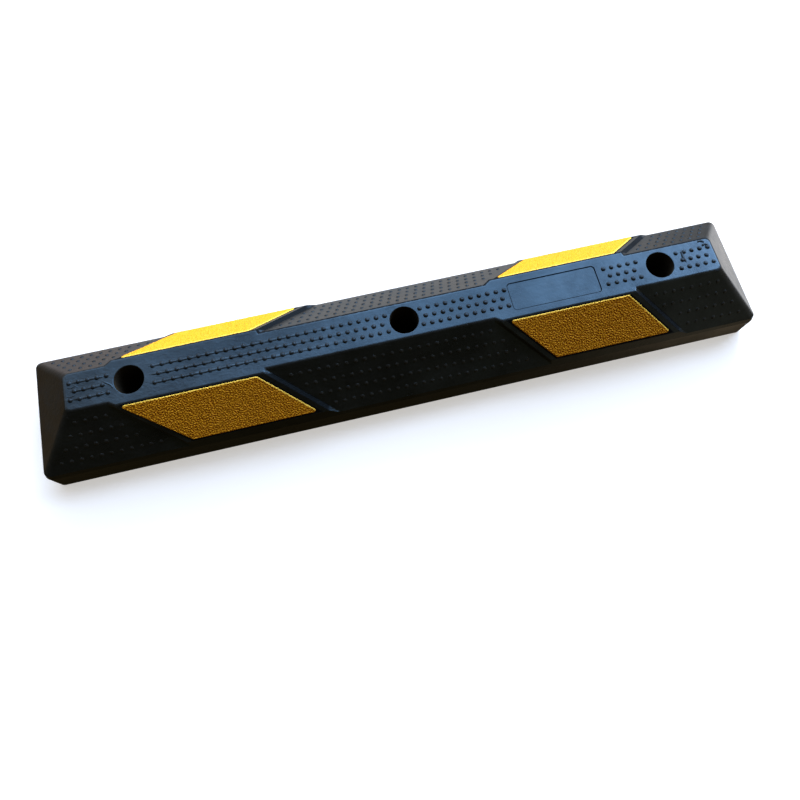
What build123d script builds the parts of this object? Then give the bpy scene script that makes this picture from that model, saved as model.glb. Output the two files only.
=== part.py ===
"""Rubber parking wheel stop: one moulded bar with four reflective panels."""
from build123d import *
import os
from math import hypot, atan2, degrees

os.makedirs("parts", exist_ok=True)

# ---------------------------------------------------------------- dimensions
length = 900.0            # overall, along X
width = 150.0             # overall, along Y
height = 100.0            # floor to flat top, along Z

skirt_height = 33.0       # vertical wall of the base
pad_top_half = 27.5       # half width of the flat top at the pads
slope_run = 44.3          # pad face from the flat top to the lip, across
slope_fall = 52.0         # and down
end_inset = 58.0          # how far the flat top stops short of each end

recess_depth = 3.9        # slopes between the pads lie this far below the pads
pad_bevel = 4.9           # length along X that the pad's side takes to fall that far

panel_pitch = 450.0       # centre to centre of the two panels on one side
panel_half = 75.0         # half length of a panel, along X
panel_top_margin = 2.9    # pad face above the panel
panel_bottom_margin = 2.8 # pad face below the panel
panel_lean = 0.92         # shift towards +X for each mm down the slope
panel_corner = 2.5        # corner radius in plan
panel_edge = 0.6          # rounding round the face
panel_thickness = 2.0
pocket_depth = 1.2        # the panel sits this deep and stands 0.8 proud
pocket_gap = 0.4          # clearance round the panel
pad_border = 10.3          # flat black frame at each end of the panel, along X

hole_pitch = 320.0        # anchor holes, centre to centre
bore_radius = 8.0         # clearance for an M14 ground anchor
counterbore_radius = 17.0 # recess for the anchor's head and washer
counterbore_depth = 65.0

label_x = 185.0           # blank label panel on the flat top
label_length = 110.0
label_width = 35.0
label_corner = 4.0
label_depth = 0.8

corner_radius = 8.0       # vertical corners of the skirt
ridge_radius = 10.0        # edges between the long slopes and the end slopes
top_radius = 4.5          # edges of the flat top
bevel_radius = 1.0        # edges of the pads' side bevels
rim_radius = 0.8          # mouth of each anchor hole

# cored underside: two rows of cells, a rib along the middle and ribs across
core_wall = 18.0          # rubber left under the slopes
core_side = 19.0          # rubber left behind the skirt at the floor
core_rib = 6.0            # half thickness of the rib along the middle
core_roof = 78.0          # top of the cells
cell_length = 59.5
cell_rib = 9.0
cell_start = 27.0         # first cell's distance from the middle hole's centre
end_cell = (348.0, 386.0) # cell beyond the outer holes
low_cell = (395.0, 426.0) # low cell under the end slope
low_roof = 33.0

# ------------------------------------------------------------- derived values
half_w = width / 2
half_l = length / 2
slope_len = hypot(slope_run, slope_fall)
ny, nz = slope_fall / slope_len, slope_run / slope_len   # outward normal of the slope
lip_y, lip_z = pad_top_half + slope_run, height - slope_fall
mid_y, mid_z = (pad_top_half + lip_y) / 2, (height + lip_z) / 2
recess_top_half = pad_top_half - recess_depth / ny
lip_slope = (half_w - lip_y) / (lip_z - skirt_height)     # the narrow bevel above the skirt
field_z = (half_w + lip_slope * skirt_height - recess_top_half - height * slope_run / slope_fall) / (lip_slope - slope_run / slope_fall)
field_y = half_w - lip_slope * (field_z - skirt_height)   # lower edge of the recessed fields
v_top = slope_len / 2 - panel_top_margin      # panel's upper edge, along the slope
v_bottom = -slope_len / 2 + panel_bottom_margin

# slope planes: local x runs along the bar, local y up the slope, z outwards
front_plane = Plane(origin=(0, -mid_y, mid_z), x_dir=(1, 0, 0), z_dir=(0, -ny, nz))
back_plane = Plane(origin=(0, mid_y, mid_z), x_dir=(-1, 0, 0), z_dir=(0, ny, nz))
sides = {"front": (front_plane, 1), "back": (back_plane, -1)}
panel_centres = {"left": -panel_pitch / 2, "right": panel_pitch / 2}


def slanted(sign, centre, half, grow=0.0):
    """Corners of a panel-shaped parallelogram on a slope plane, leaning to +X
    going down, grown by a margin all round."""
    side = half + grow * hypot(1, panel_lean)
    low, high = v_bottom - grow, v_top + grow
    return [
        (sign * (centre - side - panel_lean * low), low),
        (sign * (centre + side - panel_lean * low), low),
        (sign * (centre + side - panel_lean * high), high),
        (sign * (centre - side - panel_lean * high), high),
    ]


# ---------------------------------------------------------------- rubber body
reach = 75.0              # the field cutters run this far up and down the slope
foot = panel_half + pad_border + pad_bevel    # pad's half length at the field
crown = panel_half + pad_border               # and at its face

with BuildPart() as rubber_body:
    # cross-section over the pads, drawn the whole length
    with BuildSketch(Plane.YZ.offset(-half_l)):
        with BuildLine():
            Polyline(
                (-half_w, 0), (half_w, 0), (half_w, skirt_height), (lip_y, lip_z),
                (pad_top_half, height), (-pad_top_half, height),
                (-lip_y, lip_z), (-half_w, skirt_height), close=True)
        make_face()
    extrude(amount=length)

    # sloping ends, with the same narrow bevel above the skirt
    lip_in = half_w - field_y
    end_slope = (height - field_z) / (end_inset - lip_in)
    for end in (-1, 1):
        with BuildSketch(Plane.XZ):
            with BuildLine():
                Polyline(
                    (end * half_l, skirt_height),
                    (end * (half_l - lip_in), field_z),
                    (end * (half_l - end_inset - 20 / end_slope), height + 20),
                    (end * (half_l + 20), height + 20),
                    (end * (half_l + 20), skirt_height),
                    close=True)
            make_face()
        extrude(amount=width, both=True, mode=Mode.SUBTRACT)

    # fields between and beyond the pads: each cutter is a trapezoid drawn
    # across the slope and swept along the pads' slanted sides
    for plane, sign in sides.values():
        up = plane.y_dir
        across = Plane(origin=plane.origin - up * reach, x_dir=plane.x_dir, z_dir=up)
        slant = plane.x_dir * (-sign * panel_lean) + up
        left, right = panel_centres["left"], panel_centres["right"]
        spans = [
            (left + foot, right - foot, left + crown - pad_bevel, right - crown + pad_bevel),
            (right + foot, half_l + 250, right + crown - pad_bevel, half_l + 250),
            (-half_l - 250, left - foot, -half_l - 250, left - crown + pad_bevel),
        ]
        for low_a, low_b, high_a, high_b in spans:
            shift = panel_lean * reach
            with BuildSketch(across):
                with BuildLine():
                    Polyline(
                        (sign * (low_a + shift), recess_depth),
                        (sign * (low_b + shift), recess_depth),
                        (sign * (high_b + shift), -recess_depth),
                        (sign * (high_a + shift), -recess_depth),
                        close=True)
                make_face()
            extrude(amount=2 * reach * hypot(1, panel_lean), dir=slant, mode=Mode.SUBTRACT)

    # rounding: the skirt's corners, the slopes' corners, the edges of the flat
    # top and the pads' bevels
    upright = rubber_body.edges().filter_by(
        lambda e: abs(e.center().X) > half_l - 3 and abs(e.center().Y) > half_w - 3
        and abs(e.tangent_at(0.5).Z) > 0.3)
    fillet(upright, corner_radius)
    ridges = rubber_body.edges().filter_by(
        lambda e: half_l - 45 < abs(e.center().X) < half_l - 15
        and abs(e.center().Y) > 20 and abs(e.tangent_at(0.5).Z) > 0.3)
    fillet(ridges, ridge_radius)
    rim = rubber_body.edges().filter_by(lambda e: abs(e.center().Z - height) < 0.05)
    fillet(rim, top_radius)
    bevels = rubber_body.edges().filter_by(
        lambda e: e.length > 50 and abs(e.center().X) < 400
        and abs(e.tangent_at(0.5).X) > 0.5 and abs(e.tangent_at(0.5).Z) > 0.3)
    fillet(bevels, bevel_radius)

    # anchor holes, each with a deep recess for the anchor's head
    with Locations(*[(x, 0, height) for x in (-hole_pitch, 0, hole_pitch)]):
        CounterBoreHole(bore_radius, counterbore_radius, counterbore_depth)
    mouths = rubber_body.edges().filter_by(GeomType.CIRCLE).filter_by(
        lambda e: abs(e.center().Z - height) < 0.05 and abs(e.radius - counterbore_radius) < 0.1)
    fillet(mouths, rim_radius)

    # blank label recess
    with BuildSketch(Plane.XY.offset(height)):
        with Locations((label_x, 0)):
            RectangleRounded(label_length, label_width, label_corner)
    extrude(amount=-label_depth, mode=Mode.SUBTRACT)

    # panel pockets
    for plane, sign in sides.values():
        for centre in panel_centres.values():
            with BuildSketch(plane.offset(-pocket_depth)) as pocket:
                with BuildLine():
                    Polyline(*slanted(sign, centre, panel_half, pocket_gap), close=True)
                make_face()
                fillet(pocket.vertices(), panel_corner + pocket_gap)
            extrude(amount=pocket_depth + 1.0, mode=Mode.SUBTRACT)

    # cored underside: cells that follow the slopes, mirrored about the middle rib
    wall_y = core_wall / ny
    roof_y = recess_top_half + (height - core_roof) * slope_run / slope_fall - wall_y
    knee_z = 34.0
    knee_y = recess_top_half + (height - knee_z) * slope_run / slope_fall - wall_y
    tall = [(core_rib, 0), (half_w - core_side, 0), (knee_y, knee_z), (roof_y, core_roof), (core_rib, core_roof)]
    low = [(core_rib, 0), (half_w - core_side, 0), (knee_y + 1.0, low_roof), (core_rib, low_roof)]
    cells = [(cell_start + i * (cell_length + cell_rib), cell_length, tall) for i in range(4)]
    cells += [(end_cell[0], end_cell[1] - end_cell[0], tall),
              (low_cell[0], low_cell[1] - low_cell[0], low)]
    for x0, run, outline in cells:
        for sx in (-1, 1):
            for sy in (-1, 1):
                with BuildSketch(Plane.YZ.offset(sx * x0)):
                    with BuildLine():
                        Polyline(*[(sy * y, z) for y, z in outline], close=True)
                    make_face()
                extrude(amount=sx * run, mode=Mode.SUBTRACT)

rubber_body.part.label = "rubber_body"
export_step(rubber_body.part, "parts/rubber_body.step")


# ----------------------------------------------------------- reflective panels
def finish_panel(part, side, hand):
    part.label = f"reflective_panel_{side}_{hand}"
    export_step(part, f"parts/{part.label}.step")
    return part


panels = []
for side, (plane, sign) in sides.items():
    for hand, centre in panel_centres.items():
        with BuildPart() as panel:
            with BuildSketch(plane.offset(-pocket_depth)) as outline:
                with BuildLine():
                    Polyline(*slanted(sign, centre, panel_half), close=True)
                make_face()
                fillet(outline.vertices(), panel_corner)
            extrude(amount=panel_thickness)
            fillet(panel.faces().sort_by(Axis(plane.origin, plane.z_dir))[-1].edges(), panel_edge)
        panels.append(finish_panel(panel.part, side, hand))

solid_volume = rubber_body.part.volume / 1e6
print("rubber", round(solid_volume, 3), "litres, at 1.28 kg/l:", round(solid_volume * 1.28, 2), "kg")
print("box", rubber_body.part.bounding_box())
print("field edge at y", round(field_y, 2), "z", round(field_z, 2), "flat top half width", round(recess_top_half, 2))
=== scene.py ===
import math

import bmesh
import bpy
import numpy as np
from mathutils import Matrix, Vector


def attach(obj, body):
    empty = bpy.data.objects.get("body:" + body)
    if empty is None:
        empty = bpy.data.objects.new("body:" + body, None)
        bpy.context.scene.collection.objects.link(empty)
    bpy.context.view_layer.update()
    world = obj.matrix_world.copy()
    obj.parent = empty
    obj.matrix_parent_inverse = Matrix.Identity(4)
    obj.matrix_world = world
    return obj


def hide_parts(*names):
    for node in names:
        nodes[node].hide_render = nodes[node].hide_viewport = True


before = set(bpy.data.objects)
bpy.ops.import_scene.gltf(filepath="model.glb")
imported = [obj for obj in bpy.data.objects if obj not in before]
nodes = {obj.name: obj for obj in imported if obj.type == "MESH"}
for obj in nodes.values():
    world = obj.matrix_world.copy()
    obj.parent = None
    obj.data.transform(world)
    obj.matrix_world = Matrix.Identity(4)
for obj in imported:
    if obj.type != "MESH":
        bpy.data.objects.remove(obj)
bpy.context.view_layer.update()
MM = 0.001

# ---------------------------------------------------------------- sizes, as in the CAD model (mm)
TOP = 100.0
HALF_LENGTH, HALF_WIDTH = 450.0, 75.0
END_TOP = 392.0                       # the flat top ends here, the end slopes start
PAD_TOP_HALF = 27.5                   # half width of the flat top where a pad meets it
SLOPE_RUN, SLOPE_FALL = 44.3, 52.0
SLOPE_LEN = math.hypot(SLOPE_RUN, SLOPE_FALL)
NY, NZ = SLOPE_FALL / SLOPE_LEN, SLOPE_RUN / SLOPE_LEN
MID_Y, MID_Z = PAD_TOP_HALF + SLOPE_RUN / 2, TOP - SLOPE_FALL / 2
RECESS = 3.9                          # the studded fields lie this far under the pads
PANEL_X = 225.0
PANEL_HALF = 75.0
PANEL_LEAN = 0.92
V_TOP, V_BOTTOM = SLOPE_LEN / 2 - 2.0, -SLOPE_LEN / 2 + 2.8
PANEL_CORNER = 2.5
ROLL_WIDE, ROLL_DEEP = 1.5, 1.0        # a panel's rounded edge
PROUD, SUNK = 1.0, -1.2
LABEL_X, LABEL_HALF, LABEL_CORNER = 185.0, (55.0, 17.5), 4.0
PAD_HALF_FOOT = 90.2
HOLES = (-320.0, 0.0, 320.0)


def slope_matrix(side):
    """Slope axes to the row frame: first axis along the bar, second up the slope, third out of it. side -1 is the front."""
    if side < 0:
        return np.array([[1, 0, 0], [0, NZ, NY * -1], [0, NY, NZ]], float).T, np.array([0, -MID_Y, MID_Z])
    return np.array([[-1, 0, 0], [0, -NZ, NY], [0, NY, NZ]], float).T, np.array([0, MID_Y, MID_Z])


def slope_points(side, uvw):
    """Points (along, up the slope, out) in mm to the row frame in mm. along runs to +X on the front and to -X on the back."""
    sign = 1.0 if side < 0 else -1.0
    uvw = np.asarray(uvw, float)
    x = uvw[:, 0] * sign
    y = side * (MID_Y - uvw[:, 1] * NZ + uvw[:, 2] * NY)
    z = MID_Z + uvw[:, 1] * NY + uvw[:, 2] * NZ
    return np.stack([x, y, z], 1)


# ---------------------------------------------------------------- node helpers
class Nodes:
    """A short way to write a material's node tree."""

    def __init__(self, material):
        material.use_nodes = True
        self.tree = material.node_tree
        self.tree.nodes.clear()

    def add(self, kind, inputs=None, **props):
        n = self.tree.nodes.new(kind)
        for k, v in props.items():
            setattr(n, k, v)
        for k, v in (inputs or {}).items():
            self.put(n, k, v)
        return n

    def put(self, node, key, value):
        socket = node.inputs[key]
        if isinstance(value, bpy.types.NodeSocket):
            self.tree.links.new(value, socket)
        else:
            socket.default_value = value

    def math(self, op, a, b=0.0, clamp=False):
        return self.add("ShaderNodeMath", {0: a, 1: b}, operation=op, use_clamp=clamp).outputs[0]

    def noise(self, at, scale, detail=3.0, rough=0.55, distortion=0.0):
        n = self.add("ShaderNodeTexNoise", {"Scale": scale, "Detail": detail, "Roughness": rough, "Distortion": distortion})
        self.put(n, "Vector", at)
        return n.outputs["Fac"]

    def span(self, value, lo, hi, out_lo=0.0, out_hi=1.0, smooth=False):
        n = self.add("ShaderNodeMapRange", {"Value": value, "From Min": lo, "From Max": hi, "To Min": out_lo, "To Max": out_hi})
        n.clamp = True
        if smooth:
            n.interpolation_type = "SMOOTHSTEP"
        return n.outputs["Result"]

    def mix(self, fac, a, b, blend="MIX"):
        n = self.add("ShaderNodeMix", data_type="RGBA", blend_type=blend)
        n.clamp_result = False
        self.put(n, "Factor", fac)
        for key, v in (("A", a), ("B", b)):
            socket = [s for s in n.inputs if s.name == key and s.type == "RGBA"][0]
            if isinstance(v, bpy.types.NodeSocket):
                self.tree.links.new(v, socket)
            else:
                socket.default_value = v
        return [s for s in n.outputs if s.type == "RGBA"][0]

    def bump(self, height, strength, distance, normal=None):
        n = self.add("ShaderNodeBump", {"Height": height, "Strength": strength, "Distance": distance})
        if normal is not None:
            self.put(n, "Normal", normal)
        return n.outputs["Normal"]


def rubber_material():
    m = bpy.data.materials.new("moulded_rubber")
    t = Nodes(m)
    at = t.add("ShaderNodeTexCoord").outputs["Object"]
    stretched = t.add("ShaderNodeMapping", {"Vector": at, "Scale": (0.25, 1.0, 1.0)}).outputs["Vector"]

    grain = t.noise(at, 900.0, 3.0, 0.6)               # fine moulded skin
    pebble = t.noise(at, 260.0, 2.0, 0.5)
    cloud = t.noise(at, 18.0, 4.0, 0.6, 0.4)           # handling marks and release bloom
    streak = t.noise(stretched, 60.0, 5.0, 0.65, 0.6)  # flow lines along the bar
    speck = t.span(t.noise(at, 420.0, 1.0, 0.5), 0.70, 0.76)

    base = t.mix(t.span(cloud, 0.35, 0.7), (0.0096, 0.0086, 0.0072, 1), (0.0140, 0.0130, 0.0114, 1))
    base = t.mix(t.math("MULTIPLY", t.span(streak, 0.52, 0.75), 0.35), base, (0.026, 0.028, 0.030, 1))
    base = t.mix(t.math("MULTIPLY", speck, 0.5), base, (0.045, 0.047, 0.05, 1))
    base = t.mix(t.math("MULTIPLY", t.span(pebble, 0.55, 0.30), 0.35), base, (0.0055, 0.0056, 0.0056, 1))

    # a dull line round each reflective panel, darkened with painted shade where the gap at its edge is shadowed
    xyz = t.add("ShaderNodeSeparateXYZ", {"Vector": at}).outputs
    aside = t.math("ABSOLUTE", xyz[1])
    up = t.math("ADD", t.math("MULTIPLY", t.math("SUBTRACT", aside, MID_Y * MM), -NZ), t.math("MULTIPLY", t.math("SUBTRACT", xyz[2], MID_Z * MM), NY))
    along = t.math("SUBTRACT", t.math("ABSOLUTE", t.math("ADD", xyz[0], t.math("MULTIPLY", up, PANEL_LEAN))), PANEL_X * MM)
    past_ends = t.math("MULTIPLY", t.math("SUBTRACT", t.math("ABSOLUTE", along), PANEL_HALF * MM), 1 / math.sqrt(1 + PANEL_LEAN ** 2))
    past_long = t.math("MAXIMUM", t.math("SUBTRACT", up, V_TOP * MM), t.math("SUBTRACT", V_BOTTOM * MM, up))
    past = t.math("MAXIMUM", past_ends, past_long)
    past = t.math("ADD", past, t.math("MULTIPLY", t.math("SUBTRACT", pebble, 0.5), 0.0012))
    off_top = t.span(aside, (PAD_TOP_HALF - 0.4) * MM, (PAD_TOP_HALF + 0.5) * MM)
    gap_shade = t.math("MULTIPLY", t.span(past, 0.0030, 0.0012, smooth=True), off_top)
    base = t.mix(gap_shade, base, (0.0050, 0.0046, 0.0042, 1))
    # the pads' right-hand leaning bevels are rubbed dull, and their colour is darkened with painted shade
    dull_bevel_shade = t.math("MULTIPLY", t.span(past_ends, 0.0068, 0.0076), t.span(past_ends, 0.0122, 0.0114))
    dull_bevel_shade = t.math("MULTIPLY", t.math("MULTIPLY", dull_bevel_shade, off_top), t.span(xyz[2], 0.046, 0.050))
    dull_bevel_shade = t.math("MULTIPLY", dull_bevel_shade, t.span(t.math("MULTIPLY", along, t.math("SIGN", xyz[0])), 0.0, 0.001))
    base = t.mix(t.math("MULTIPLY", dull_bevel_shade, 0.8), base, (0.0035, 0.0030, 0.0024, 1))
    # dull brown dust inside the anchor holes
    from_end = t.math("ABSOLUTE", xyz[0])
    from_hole = t.math("MINIMUM", from_end, t.math("ABSOLUTE", t.math("SUBTRACT", from_end, HOLES[2] * MM)))
    radius = t.math("SQRT", t.math("ADD", t.math("MULTIPLY", from_hole, from_hole), t.math("MULTIPLY", xyz[1], xyz[1])))
    in_hole = t.math("MULTIPLY", t.span(radius, 0.0178, 0.0172), t.span(xyz[2], 0.0996, 0.0988))
    base = t.mix(in_hole, base, (0.026, 0.021, 0.0135, 1))
    # a thin dark line of painted shade along the recessed edge of the blank label field
    qx = t.math("MAXIMUM", t.math("SUBTRACT", t.math("ABSOLUTE", t.math("SUBTRACT", xyz[0], LABEL_X * MM)), (LABEL_HALF[0] - LABEL_CORNER) * MM), 0.0)
    qy = t.math("MAXIMUM", t.math("SUBTRACT", aside, (LABEL_HALF[1] - LABEL_CORNER) * MM), 0.0)
    off_line = t.math("SUBTRACT", t.math("SQRT", t.math("ADD", t.math("MULTIPLY", qx, qx), t.math("MULTIPLY", qy, qy))), LABEL_CORNER * MM)
    line = t.math("MULTIPLY", t.span(t.math("ABSOLUTE", off_line), 0.00065, 0.00035), t.span(xyz[2], 0.098, 0.0985))
    base = t.mix(line, base, (0.0045, 0.0045, 0.0045, 1))
    # the upper back edge and the right end's upper edge are rubbed dull, and their colour is darkened with painted
    # shade over their highlight
    near_edge = t.math("MULTIPLY", t.span(xyz[2], 0.09992, 0.09965), t.span(xyz[2], 0.0974, 0.0982))
    along_back = t.math("MULTIPLY", t.span(xyz[1], 0.0185, 0.0195), t.span(xyz[0], -0.345, -0.300))
    outer = t.math("MAXIMUM", along_back, t.span(xyz[0], 0.380, 0.386, 0.0, 0.4))
    edge = t.math("MULTIPLY", t.math("MULTIPLY", near_edge, outer), t.span(pebble, 0.30, 0.50, 0.35, 1.0))
    base = t.mix(edge, base, (0.0060, 0.0062, 0.0068, 1))
    # the studs are duller than the face round them
    stud = t.span(xyz[2], (TOP + 0.62) * MM, (TOP + 0.90) * MM)
    low_stud = t.add("ShaderNodeAttribute", attribute_name="stud", attribute_type="GEOMETRY").outputs["Fac"]
    stud = t.math("MAXIMUM", stud, low_stud)
    # those on the front slope are a little paler
    paler_front_studs = t.math("MULTIPLY", low_stud, t.span(xyz[1], 0.0, -0.01, 0.0, 0.36))
    base = t.mix(paler_front_studs, base, (0.046, 0.044, 0.039, 1))
    # road dust low on the skirt
    dusty = t.math("MULTIPLY", t.span(xyz[2], 0.040, 0.004, smooth=True), t.span(cloud, 0.30, 0.75, 0.25, 0.9))
    base = t.mix(dusty, base, (0.017, 0.0125, 0.0070, 1))

    rough = t.math("ADD", t.span(cloud, 0.3, 0.75, 0.24, 0.34), t.span(streak, 0.4, 0.75, 0.0, 0.07))
    rough = t.math("ADD", rough, t.math("MULTIPLY", speck, 0.15))
    dull = t.math("MAXIMUM", t.math("MAXIMUM", gap_shade, in_hole), t.math("MAXIMUM", line, edge))
    dull = t.math("MAXIMUM", dull, t.math("MULTIPLY", dull_bevel_shade, 0.88))
    rough = t.math("ADD", rough, t.math("MULTIPLY", dull, 0.45))
    rough = t.math("ADD", rough, t.math("MULTIPLY", stud, 0.10))
    rough = t.math("ADD", rough, t.math("MULTIPLY", dusty, 0.20), clamp=True)

    n = t.bump(grain, 0.30, 0.00018)
    n = t.bump(pebble, 0.25, 0.0004, n)
    n = t.bump(cloud, 0.40, 0.0012, n)
    n = t.bump(streak, 0.30, 0.0006, n)
    wrinkle = t.noise(t.add("ShaderNodeMapping", {"Vector": at, "Scale": (0.55, 1.0, 1.0)}).outputs["Vector"], 150.0, 2.0, 0.5, 0.8)
    n = t.bump(t.math("MULTIPLY", wrinkle, t.span(xyz[0], 0.02, -0.20)), 0.45, 0.0009, n)

    sheen = t.math("MULTIPLY", t.span(cloud, 0.30, 0.70, 0.44, 0.80), t.math("SUBTRACT", 1.0, t.math("MULTIPLY", dull, 0.85)))
    sheen = t.math("MULTIPLY", sheen, t.math("SUBTRACT", 1.0, t.math("MULTIPLY", stud, 0.46)))
    shader = t.add("ShaderNodeBsdfPrincipled", {"Base Color": base, "Roughness": rough, "Normal": n, "Specular IOR Level": sheen})
    shader.inputs["IOR"].default_value = 1.52
    # painted reflection: the blue specular tint colours every reflection blue, standing in for reflected blue sky
    shader.inputs["Specular Tint"].default_value = (0.40, 0.73, 1.0, 1)
    out = t.add("ShaderNodeOutputMaterial")
    t.put(out, "Surface", shader.outputs[0])
    return m


def panel_material():
    m = bpy.data.materials.new("beaded_reflective_yellow")
    t = Nodes(m)
    at = t.add("ShaderNodeTexCoord").outputs["Object"]
    relief = t.add("ShaderNodeAttribute", attribute_name="relief", attribute_type="GEOMETRY").outputs["Fac"]
    bead = t.add("ShaderNodeTexVoronoi", {"Vector": at, "Scale": 1500.0}).outputs["Distance"]
    grain = t.noise(at, 700.0, 2.0, 0.6)
    cloud = t.noise(at, 22.0, 3.0, 0.55)

    # painted shade and highlight: the crinkle's pits are coloured darker and its ridges lighter, by their height
    base = t.mix(t.span(relief, -1.0, 0.5, smooth=True), (0.50, 0.180, 0.004, 1), (0.85, 0.378, 0.011, 1))
    base = t.mix(t.math("MULTIPLY", t.span(cloud, 0.35, 0.7), 0.20), base, (0.88, 0.42, 0.012, 1))
    base = t.mix(t.math("MULTIPLY", t.span(grain, 0.5, 0.8), 0.22), base, (0.40, 0.16, 0.004, 1))

    edge_highlight = t.add("ShaderNodeAttribute", attribute_name="edge_highlight", attribute_type="GEOMETRY").outputs["Fac"]
    base = t.mix(t.math("MULTIPLY", edge_highlight, 0.95), base, (1.0, 0.68, 0.09, 1))   # painted highlight: the cut edge is paler along the top and right sides, where light catches it

    rough = t.span(grain, 0.3, 0.7, 0.45, 0.70)
    n = t.bump(bead, 0.35, 0.00016)
    n = t.bump(grain, 0.4, 0.00022, n)
    shader = t.add("ShaderNodeBsdfPrincipled", {"Base Color": base, "Roughness": rough, "Normal": n})
    shader.inputs["Specular IOR Level"].default_value = 0.25
    out = t.add("ShaderNodeOutputMaterial")
    t.put(out, "Surface", shader.outputs[0])
    return m


def floor_material():
    m = bpy.data.materials.new("pale_floor")
    t = Nodes(m)
    at = t.add("ShaderNodeTexCoord").outputs["Object"]
    fine = t.noise(at, 160.0, 3.0, 0.5)
    base = t.mix(t.span(fine, 0.3, 0.7), (0.60, 0.59, 0.57, 1), (0.64, 0.63, 0.61, 1))
    shader = t.add("ShaderNodeBsdfPrincipled", {"Base Color": base, "Normal": t.bump(fine, 0.1, 0.0003)})
    shader.inputs["Emission Color"].default_value = (1.0, 0.99, 0.975, 1)
    shader.inputs["Emission Strength"].default_value = 0.52
    shader.inputs["Roughness"].default_value = 0.75
    shader.inputs["Specular IOR Level"].default_value = 0.2
    out = t.add("ShaderNodeOutputMaterial")
    t.put(out, "Surface", shader.outputs[0])
    return m


RUBBER = rubber_material()
PANEL = panel_material()

# ---------------------------------------------------------------- the moulded body keeps its CAD shape
body = nodes["rubber_body"]
for s in body.material_slots:
    s.material = RUBBER


def new_piece(name, verts_mm, faces, material, slot, smooth=True):
    mesh = bpy.data.meshes.new(name)
    mesh.from_pydata((np.asarray(verts_mm, float) * MM).tolist(), [], [list(map(int, f)) for f in faces])
    mesh.validate()
    mesh.update()
    for p in mesh.polygons:
        p.use_smooth = smooth
    mesh.materials.append(material)
    o = bpy.data.objects.new(name, mesh)
    bpy.context.scene.collection.objects.link(o)
    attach(o, "root")
    return o


# ---------------------------------------------------------------- studs
STUD_PROFILE = ((3.0, -0.45), (2.85, -0.02), (2.62, 0.09), (2.46, 0.34), (2.26, 0.72), (1.92, 1.12), (1.42, 1.46), (0.76, 1.68))
STUD_PEAK = 1.76
STUD_SIDES = 16


def stud_cloud(places, normal_axes, rng, size=1.0, tall=1.0):
    """One closed dome per place. places: (n, 3) in mm; normal_axes: two tangents and the outward normal."""
    a, b, n = (np.asarray(v, float) for v in normal_axes)
    verts, faces = [], []
    for c in np.asarray(places, float):
        first = len(verts)
        grow = size * (1 + rng.uniform(-0.05, 0.05))
        lift = tall * (1 + rng.uniform(-0.10, 0.06))
        turn = rng.uniform(0, math.tau)
        skew = rng.uniform(-0.10, 0.10, 2)
        for r, h in STUD_PROFILE:
            for k in range(STUD_SIDES):
                w = turn + math.tau * k / STUD_SIDES
                shift = skew * max(h, 0)
                verts.append(c + a * (r * grow * math.cos(w) + shift[0]) + b * (r * grow * math.sin(w) + shift[1]) + n * (h * lift if h > 0 else h))
        rings = len(STUD_PROFILE)
        for i in range(rings - 1):
            for k in range(STUD_SIDES):
                j = (k + 1) % STUD_SIDES
                lo, hi = first + i * STUD_SIDES, first + (i + 1) * STUD_SIDES
                faces.append((lo + k, lo + j, hi + j, hi + k))
        verts.append(c + n * STUD_PEAK * lift + a * skew[0] + b * skew[1])
        top = len(verts) - 1
        last = first + (rings - 1) * STUD_SIDES
        for k in range(STUD_SIDES):
            faces.append((last + k, last + (k + 1) % STUD_SIDES, top))
        faces.append(tuple(first + k for k in range(STUD_SIDES - 1, -1, -1)))
    return verts, faces


rng = np.random.default_rng(11)

top_places = []
for y, start, most in ((10.3, 21.0, 387.0), (0.0, 26.2, 383.0), (-10.3, 21.0, 387.0)):
    for sign in (-1, 1):
        x = start
        while x <= most:
            near_hole = any(math.hypot(sign * x - h, y) < 23.2 for h in HOLES)
            in_label = sign > 0 and 126.0 < x < 248.0
            if not near_hole and not in_label:
                top_places.append((sign * x + rng.uniform(-0.15, 0.15), y + rng.uniform(-0.12, 0.12), TOP))
            x += 10.42
top_studs = new_piece("top_studs", *stud_cloud(top_places, ((1, 0, 0), (0, 1, 0), (0, 0, 1)), rng, 1.05), RUBBER, "rubber")


def slope_stud_places():
    """(along, up the slope) in mm from the slope's middle, in the sloping fields, for the front's own axes with along to +X."""
    rows = []
    for i, s in enumerate((0.81, 0.61, 0.41, 0.21)):
        down = (1 - s) * 81.3                       # from the field's top edge
        outer = 388.0 + 11.5 * i
        # the pads lean: their edges move to +X by PANEL_LEAN a millimetre down the slope
        drop = down - 81.3 / 2
        shift = PANEL_LEAN * drop
        left_pad = (-PANEL_X - PAD_HALF_FOOT + shift, -PANEL_X + PAD_HALF_FOOT + shift)
        right_pad = (PANEL_X - PAD_HALF_FOOT + shift, PANEL_X + PAD_HALF_FOOT + shift)
        row = []
        x = -outer
        while x < left_pad[0] - 11.0:
            row.append(x)
            x += 11.5
        x = outer
        while x > right_pad[1] + 11.0:
            row.append(x)
            x -= 11.5
        base = -0.5 + 14.5 * i
        for k in range(-20, 21):
            x = base + 10.9 * k
            if left_pad[1] + 9.5 < x < right_pad[0] - 9.5:
                row.append(x)
        rows += [(x, down) for x in row]
    return rows


def slope_studs(name, side, tall):
    """Studs on the recessed fields of one long side. The field's top edge is 22.38 from the middle line, at the top face."""
    places = []
    for x, down in slope_stud_places():
        y = side * (22.38 + down * NZ)
        z = TOP - down * NY
        places.append((x + rng.uniform(-0.2, 0.2), y, z + rng.uniform(-0.1, 0.1)))
    along = (1, 0, 0) if side < 0 else (-1, 0, 0)
    up = (0, -side * NZ, NY)
    out = (0, side * NY, NZ)
    return new_piece(name, *stud_cloud(places, (along, up, out), rng, 0.88, tall), RUBBER, "rubber")


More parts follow.
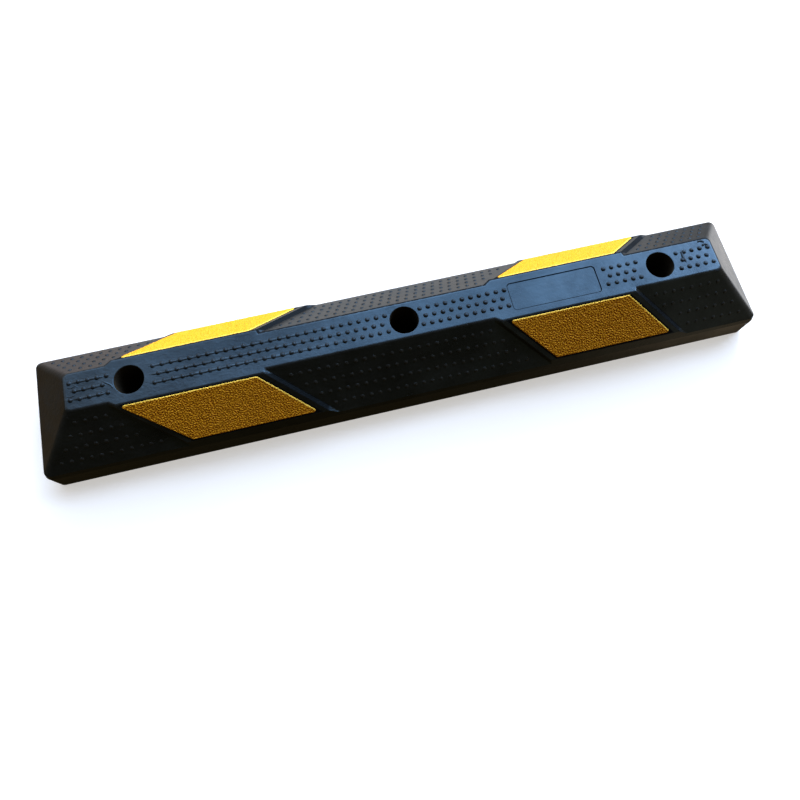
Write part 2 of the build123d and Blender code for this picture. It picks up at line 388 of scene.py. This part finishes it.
front_studs = slope_studs("front_studs", -1, 0.36)
back_studs = slope_studs("back_studs", 1, 0.58)
for o in (front_studs, back_studs):
    a = o.data.attributes.new("stud", "FLOAT", "POINT")
    a.data.foreach_set("value", np.ones(len(o.data.vertices), np.float32))

# ---------------------------------------------------------------- low mould lines along the stud rows, and small mould marks


def raised_line(points, widths, heights, normal=(0, 0, 1), sides=7, sink=0.35):
    """A closed, half-round raised line along points (mm), its width and height given at each point."""
    p = np.asarray(points, float)
    n = np.asarray(normal, float)
    t = np.gradient(p, axis=0)
    t /= np.linalg.norm(t, axis=1)[:, None]
    b = np.cross(n, t)
    verts, faces = [], []
    k = sides + 2
    for i in range(len(p)):
        verts.append(p[i] - b[i] * widths[i] / 2 - n * sink)
        for j in range(sides):
            a = math.pi * j / (sides - 1)
            verts.append(p[i] - b[i] * math.cos(a) * widths[i] / 2 + n * math.sin(a) * heights[i])
        verts.append(p[i] + b[i] * widths[i] / 2 - n * sink)
    for i in range(len(p) - 1):
        for j in range(k):
            a, c = i * k + j, i * k + (j + 1) % k
            faces.append((a, a + k, c + k, c))
    faces.append(tuple(range(k)))
    last = (len(p) - 1) * k
    faces.append(tuple(last + j for j in range(k - 1, -1, -1)))
    return verts, faces


def joined(parts):
    verts, faces = [], []
    for v, f in parts:
        first = len(verts)
        verts += list(v)
        faces += [tuple(first + i for i in q) for q in f]
    return verts, faces


def wander(n, amount, r, smooth=9):
    a = r.standard_normal(n + 2 * smooth)
    kernel = np.hanning(smooth) / np.hanning(smooth).sum()
    a = np.convolve(a, kernel, "same")[smooth:-smooth]
    return amount * a / max(a.std(), 1e-6)


lines = []
for y in (10.3, 0.0, -10.3):
    for x0, x1, full in ((-297.0, -62.0, 0.60), (-385.0, -345.0, 0.55)):
        xs = np.arange(x0, x1, 1.1)
        along = (xs - x0) / (x1 - x0)
        ends = np.clip(np.minimum(xs - x0, x1 - xs) / 6.0, 0.02, 1)
        fade = ends * (np.clip((1 - along) / 0.65, 0.10, 1) if x0 < -290 and x1 > -100 else 1)
        wide = 3.2 + wander(len(xs), 0.30, rng)
        high = full * fade * (1 + wander(len(xs), 0.20, rng))
        ys = y + wander(len(xs), 0.12, rng)
        lines.append(raised_line(np.stack([xs, ys, np.full(len(xs), TOP)], 1), wide * np.clip(ends, 0.3, 1), np.clip(high, 0.02, 0.9)))
row_lines = new_piece("row_lines", *joined(lines), RUBBER, "rubber")


def arc(cx, cy, r, a0, a1, n):
    a = np.radians(np.linspace(a0, a1, n))
    return np.stack([cx + r * np.cos(a), cy + r * np.sin(a), np.full(n, TOP)], 1)


def mark(points, wide, high):
    p = np.asarray(points, float)
    s = np.linspace(0, 1, len(p))
    shape = np.clip(np.sin(math.pi * s) * 1.6, 0.05, 1)
    return raised_line(p, wide * shape, high * shape)


def through(points, n=24):
    """A smooth line of n points through a few given ones."""
    p = np.asarray(points, float)
    t = np.linspace(0, len(p) - 1, n)
    out = []
    for v in t:
        i = min(int(v), len(p) - 2)
        f = v - i
        p0, p1, p2, p3 = p[max(i - 1, 0)], p[i], p[i + 1], p[min(i + 2, len(p) - 1)]
        out.append(0.5 * (2 * p1 + (p2 - p0) * f + (2 * p0 - 5 * p1 + 4 * p2 - p3) * f ** 2 + (3 * p1 - p0 - 3 * p2 + p3) * f ** 3))
    return np.array(out)


marks = [
    mark(through([(353.4, 13.6, TOP), (352.0, 10.0, TOP), (351.3, 5.0, TOP), (351.8, 0.0, TOP), (353.2, -4.2, TOP)]), 3.3, 1.00),
    mark(through([(-348.5, 4.2, TOP), (-345.0, 1.6, TOP), (-341.0, -1.2, TOP), (-338.8, -4.6, TOP), (-337.4, -7.6, TOP)]), 2.3, 0.42),
    mark(through([(375.8, 18.6, TOP), (378.6, 20.2, TOP), (381.8, 19.4, TOP), (384.4, 16.8, TOP)]), 2.9, 0.95),
    mark(through([(379.6, 12.2, TOP), (382.4, 14.4, TOP), (385.8, 13.6, TOP), (388.0, 10.6, TOP)]), 3.0, 1.10),
    mark(through([(-389.0, 6.0, TOP), (-384.0, 4.2, TOP), (-379.5, 5.6, TOP), (-375.5, 3.6, TOP)]), 1.6, 0.40),
    mark(through([(-389.5, -5.0, TOP), (-385.0, -6.4, TOP), (-380.0, -4.6, TOP)]), 1.4, 0.35),
    mark(through([(-352.0, -7.0, TOP), (-348.0, -9.5, TOP), (-344.5, -8.0, TOP)]), 1.4, 0.35),
]
mould_marks = new_piece("mould_marks", *joined(marks), RUBBER, "rubber")

# ---------------------------------------------------------------- reflective panels: crinkled, beaded face on a thin plate


def crinkle_field(seed, size_u=240.0, size_v=80.0, step=0.4, wave=3.1):
    """Band-passed noise on a raster, sharpened into small ridges and pits, about -1 to 1."""
    r = np.random.default_rng(seed)
    nu, nv = int(size_u / step), int(size_v / step)
    white = np.fft.rfft2(r.standard_normal((nv, nu)))
    fu, fv = np.fft.rfftfreq(nu, step)[None, :], np.fft.fftfreq(nv, step)[:, None]
    f = np.hypot(fu, fv)
    fine = np.exp(-((f - 1 / wave) / (0.36 / wave)) ** 2) + 0.35 * np.exp(-((f - 1.7 / wave) / (0.45 / wave)) ** 2)
    slow = np.exp(-((f - 1 / 9.0) / (0.6 / 9.0)) ** 2)
    a = np.fft.irfft2(white * fine, s=(nv, nu))
    b = np.fft.irfft2(white * slow, s=(nv, nu))
    a = np.tanh(0.85 * a / a.std())
    return a + 0.12 * b / b.std(), step


def make_panel(name, node, side, centre, seed, tip=0.0):
    sign = 1.0 if side < 0 else -1.0      # the slope's first axis runs to +X on the front, to -X on the back
    field, step = crinkle_field(seed)
    # lines across the face: close together at the rounded edge, then even
    edge = [0.0, 0.08, 0.25, 0.55, 1.1]
    dense = 0.56

    def lines(lo, hi, scale):
        e = [x * scale for x in edge]
        inner = np.linspace(lo + e[-1], hi - e[-1], int((hi - lo - 2 * e[-1]) / dense) + 1)
        return np.concatenate([[lo + x for x in e[:-1]], inner, [hi - x for x in e[-2::-1]]])

    across = math.sqrt(1 + PANEL_LEAN ** 2)          # a millimetre square to the leaning ends is this much along
    us = lines(-PANEL_HALF, PANEL_HALF, across)
    vs = lines(V_BOTTOM, V_TOP, 1.0)
    u, v = np.meshgrid(us, vs)
    x = u - PANEL_LEAN * v                            # lean in the row's X
    # distance inside each side, square to it
    d_ends = (PANEL_HALF - np.abs(u)) / across
    d_long = np.minimum(V_TOP - v, v - V_BOTTOM)
    # round the corners: points outside the corner arc are pulled onto it
    px, pv = x.copy(), v.copy()
    for ue in (-1, 1):
        for ve, vlim in ((-1, V_BOTTOM), (1, V_TOP)):
            # arc centre: PANEL_CORNER in from both sides
            cv = vlim - ve * PANEL_CORNER
            cu = ue * (PANEL_HALF - PANEL_CORNER * across)
            cx = cu - PANEL_LEAN * cv
            # the corner's region: between the normals of its two sides
            end_n = np.array([ue / across, ue * PANEL_LEAN / across])
            long_n = np.array([0.0, ve])
            rel = np.stack([px - cx, pv - cv], -1)
            turn = np.sign(end_n[0] * long_n[1] - end_n[1] * long_n[0])
            past_end = turn * (end_n[0] * rel[..., 1] - end_n[1] * rel[..., 0])
            past_long = turn * (rel[..., 0] * long_n[1] - rel[..., 1] * long_n[0])
            dist = np.hypot(rel[..., 0], rel[..., 1])
            inside = (past_end >= 0) & (past_long >= 0)
            d_here = PANEL_CORNER - dist
            # pull the ones beyond the arc back onto it, and keep the spacing of those near it
            over = inside & (dist > PANEL_CORNER)
            scale = np.where(over, PANEL_CORNER / np.maximum(dist, 1e-9), 1.0)
            px = np.where(over, cx + rel[..., 0] * scale, px)
            pv = np.where(over, cv + rel[..., 1] * scale, pv)
            d_corner = np.where(over, 0.0, d_here)
            d_ends = np.where(inside, np.minimum(d_ends, d_corner), d_ends)
    # this panel's upper left corner is cut a little long
    px = px - tip * np.clip(-u / PANEL_HALF, 0, 1) ** 2 * np.clip((v - V_BOTTOM) / (V_TOP - V_BOTTOM), 0, 1)
    d = np.clip(np.minimum(d_ends, d_long), 0, None)
    inside_edge = np.clip(d / ROLL_WIDE, 0, 1)
    roll = ROLL_DEEP * (1 - np.sqrt(np.clip(1 - (1 - inside_edge) ** 2, 0, 1)))
    fi = (px - px.min()) / step
    fj = (pv - pv.min()) / step
    i0, j0 = np.floor(fi).astype(int), np.floor(fj).astype(int)
    i0, j0 = np.clip(i0, 0, field.shape[1] - 2), np.clip(j0, 0, field.shape[0] - 2)
    ti, tj = fi - i0, fj - j0
    relief = (
        field[j0, i0] * (1 - ti) * (1 - tj) + field[j0, i0 + 1] * ti * (1 - tj)
        + field[j0 + 1, i0] * (1 - ti) * tj + field[j0 + 1, i0 + 1] * ti * tj
    )
    fade = np.clip((d - 0.5) / 1.1, 0, 1)
    fade = fade * fade * (3 - 2 * fade)
    height = PROUD - 0.34 - roll + 0.62 * relief * fade + 0.22 * np.exp(-(((d - 1.2) / 0.7) ** 2))
    # the cut edge is slightly ragged, away from the round corners
    from_corner = np.hypot((PANEL_HALF - np.abs(u)) / across, d_long)
    ragged = np.clip(1 - d / 1.5, 0, 1) * np.clip((from_corner - 4.2) / 3, 0, 1)
    px = px + 0.30 * ragged * relief
    pv = pv + 0.30 * ragged * relief
    nv_, nu_ = px.shape
    x_row = centre + px
    face_pts = np.stack([sign * x_row, pv, height], -1).reshape(-1, 3)
    verts = list(slope_points(side, face_pts))
    values = list((relief * fade).ravel())
    # painted highlight: strongest near the panel's top and right edges
    d_bright = np.minimum(V_TOP - v, (PANEL_HALF - u) / across)
    edge_highlights = list(np.clip(1.25 - np.clip(d_bright, 0, None) / 1.3, 0, 1).ravel())
    faces = []
    idx = np.arange(nv_ * nu_).reshape(nv_, nu_)
    for j in range(nv_ - 1):
        for i in range(nu_ - 1):
            q = (idx[j, i], idx[j, i + 1], idx[j + 1, i + 1], idx[j + 1, i])
            faces.append(q if side < 0 else q[::-1])
    loop = list(idx[0, :]) + list(idx[1:, -1]) + list(idx[-1, -2::-1]) + list(idx[-2:0:-1, 0])
    under = []
    flat = np.stack([sign * x_row, pv], -1).reshape(-1, 2)
    bottom = slope_points(side, np.array([[flat[k][0], flat[k][1], SUNK] for k in loop]))
    for p in bottom:
        under.append(len(verts))
        verts.append(p)
        values.append(0.0)
        edge_highlights.append(1.0)
    n = len(loop)
    for k in range(n):
        j = (k + 1) % n
        q = (loop[k], under[k], under[j], loop[j])
        faces.append(q if side < 0 else q[::-1])
    f = tuple(under)
    faces.append(f[::-1] if side < 0 else f)
    o = new_piece(name, verts, faces, PANEL, "reflective_panel")
    a = o.data.attributes.new("relief", "FLOAT", "POINT")
    if len(o.data.vertices) == len(values):
        a.data.foreach_set("value", np.array(values, np.float32))
        o.data.attributes.new("edge_highlight", "FLOAT", "POINT").data.foreach_set("value", np.array(edge_highlights, np.float32))
    bm = bmesh.new()
    bm.from_mesh(o.data)
    bmesh.ops.remove_doubles(bm, verts=bm.verts, dist=2e-6)
    bmesh.ops.dissolve_degenerate(bm, dist=1e-6, edges=bm.edges)
    bmesh.ops.recalc_face_normals(bm, faces=bm.faces)
    if bm.calc_volume(signed=True) < 0:
        bmesh.ops.reverse_faces(bm, faces=bm.faces)
    for e in bm.edges:
        if len(e.link_faces) == 2 and e.calc_face_angle(0) > math.radians(60):
            e.smooth = False
    bm.to_mesh(o.data)
    bm.free()
    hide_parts(node)
    return o


panels = [
    make_panel("panel_front_left", "reflective_panel_front_left", -1, -PANEL_X, 1, tip=6.0),
    make_panel("panel_front_right", "reflective_panel_front_right", -1, PANEL_X, 2),
    make_panel("panel_back_left", "reflective_panel_back_left", 1, -PANEL_X, 3),
    make_panel("panel_back_right", "reflective_panel_back_right", 1, PANEL_X, 4),
]

# ---------------------------------------------------------------- floor
mesh = bpy.data.meshes.new("floor")
mesh.from_pydata([(-6, -6, -0.0002), (6, -6, -0.0002), (6, 6, -0.0002), (-6, 6, -0.0002)], [], [(0, 1, 2, 3)])
floor = bpy.data.objects.new("floor", mesh)
bpy.context.scene.collection.objects.link(floor)
mesh.materials.append(floor_material())

# ---------------------------------------------------------------- light
# A soft sky to the back and right, dim to the front and left, and one large warm softbox behind. The floor takes
# light and shadow, and the rubber's sheen shows the soft surroundings instead of the floor.
world = bpy.data.worlds.new("studio")
world.use_nodes = True
w = Nodes.__new__(Nodes)
w.tree = world.node_tree
w.tree.nodes.clear()
towards = w.add("ShaderNodeTexCoord").outputs["Generated"]
split = w.add("ShaderNodeSeparateXYZ", {"Vector": towards})
dx, dy, dz = split.outputs


def scaled(colour, k):
    return tuple(c * k for c in colour[:3]) + (1.0,)


SKY_LEFT, SKY_MIDDLE, SKY_RIGHT = (0.57, 0.565, 0.61), (2.10, 2.68, 3.66), (6.2, 7.6, 10.4)
GROUND_DARK, GROUND_BACK = (0.062, 0.044, 0.018), (0.64, 0.62, 0.615)
sky = w.mix(w.span(dx, -0.50, 0.22), SKY_LEFT + (1,), SKY_MIDDLE + (1,))
brighter_patch = w.math("MULTIPLY", w.span(dx, 0.02, 0.15, smooth=True), w.span(dx, 0.34, 0.20, smooth=True))
sky = w.mix(brighter_patch, sky, scaled(SKY_MIDDLE, 1.66))
sky = w.mix(w.math("MULTIPLY", w.span(dx, 0.49, 0.62, smooth=True), w.span(dz, 0.48, 0.68, smooth=True)), sky, SKY_RIGHT + (1,))
lower_is_brighter = w.span(dz, 0.94, 0.60, 0.80, 1.75)
sky = w.mix(1.0, sky, w.add("ShaderNodeCombineXYZ", {0: lower_is_brighter, 1: lower_is_brighter, 2: lower_is_brighter}).outputs[0], "MULTIPLY")
is_sky = w.math("MULTIPLY", w.span(dz, 0.14, 0.38, smooth=True), w.span(dy, 0.06, 0.30, smooth=True))
ahead = w.math("ADD", dy, w.math("MULTIPLY", dx, 0.6))
low = w.span(dz, -0.10, -0.42, smooth=True)
shade = w.math("MULTIPLY", w.span(dx, 0.40, 0.52, smooth=True), w.span(dy, 0.52, 0.62, smooth=True))
lamp = w.math("MULTIPLY", w.span(dx, 0.62, 0.72, smooth=True), w.span(dy, 0.60, 0.46, smooth=True))
back = w.mix(w.span(dx, -0.12, -0.40, smooth=True), GROUND_BACK + (1,), (0.48, 0.39, 0.355, 1))
back = w.mix(shade, back, scaled(GROUND_BACK, 0.32))
back = w.mix(lamp, back, scaled(GROUND_BACK, 2.1))
ground = w.mix(w.math("MULTIPLY", low, w.span(ahead, -0.05, 0.60, smooth=True)), GROUND_DARK + (1,), back)
deep = w.span(dz, -0.50, -0.85, smooth=True)
ground = w.mix(w.math("MULTIPLY", deep, w.span(dy, 0.05, -0.15)), ground, scaled(GROUND_DARK, 0.5))
right_glow = w.math("MULTIPLY", w.span(dx, 0.24, 0.50), w.span(dy, 0.10, -0.30))
right_glow = w.math("MULTIPLY", right_glow, w.math("SUBTRACT", 1.0, w.math("MULTIPLY", deep, w.span(dx, 0.50, 0.34))))
ground = w.mix(right_glow, ground, (0.25, 0.185, 0.115, 1))
left_brown = w.math("MULTIPLY", w.span(dx, -0.30, -0.80, smooth=True), w.span(dz, 0.10, -0.30, smooth=True))
ground = w.mix(left_brown, ground, (0.098, 0.062, 0.026, 1))
surround = w.mix(is_sky, ground, sky)
lit = w.add("ShaderNodeBackground", {"Color": surround, "Strength": 1.0})
plain = w.add("ShaderNodeBackground", {"Color": (0.99, 0.99, 0.985, 1), "Strength": 1.0})
seen = w.add("ShaderNodeLightPath").outputs["Is Camera Ray"]
either = w.add("ShaderNodeMixShader", {0: seen, 1: lit.outputs[0], 2: plain.outputs[0]})
w.add("ShaderNodeOutputWorld", {"Surface": either.outputs[0]})
bpy.context.scene.world = world
floor.visible_glossy = False
floor.visible_diffuse = False


def softbox(name, at, look, size, radiance, colour):
    """A rectangular soft light. radiance is what a surface facing it sees, where 1 is a white surface in full light."""
    data = bpy.data.lights.new(name, "AREA")
    data.shape = "RECTANGLE"
    data.size, data.size_y = size
    data.energy = radiance * math.pi * size[0] * size[1]
    data.color = colour
    o = bpy.data.objects.new(name, data)
    o.location = at
    o.rotation_mode = "QUATERNION"
    o.rotation_quaternion = (Vector(look) - Vector(at)).to_track_quat("-Z", "Y")
    bpy.context.scene.collection.objects.link(o)
    o.visible_camera = False
    return o


key = softbox("key", (1.7, 3.7, 2.0), (0.0, 0.05, 0.05), (2.2, 2.0), 15.5, (1.0, 0.93, 0.77))

key.visible_glossy = False

# ---------------------------------------------------------------- camera
cam_data = bpy.data.cameras.new("camera")
cam_data.sensor_width = 36.0
cam_data.lens = 648.94 / 800 * 36.0
cam_data.clip_start, cam_data.clip_end = 0.01, 50
camera = bpy.data.objects.new("camera", cam_data)
camera.matrix_world = Matrix((
    (0.9715615, 0.2200824, -0.0873614, -0.0916913),
    (-0.2362826, 0.9251720, -0.2970308, -0.3112042),
    (0.0154531, 0.3092256, 0.9508631, 0.7934753),
    (0, 0, 0, 1),
))
bpy.context.scene.collection.objects.link(camera)
bpy.context.scene.camera = camera

bpy.context.scene.view_settings.view_transform = "Standard"
bpy.context.scene.view_settings.look = "None"
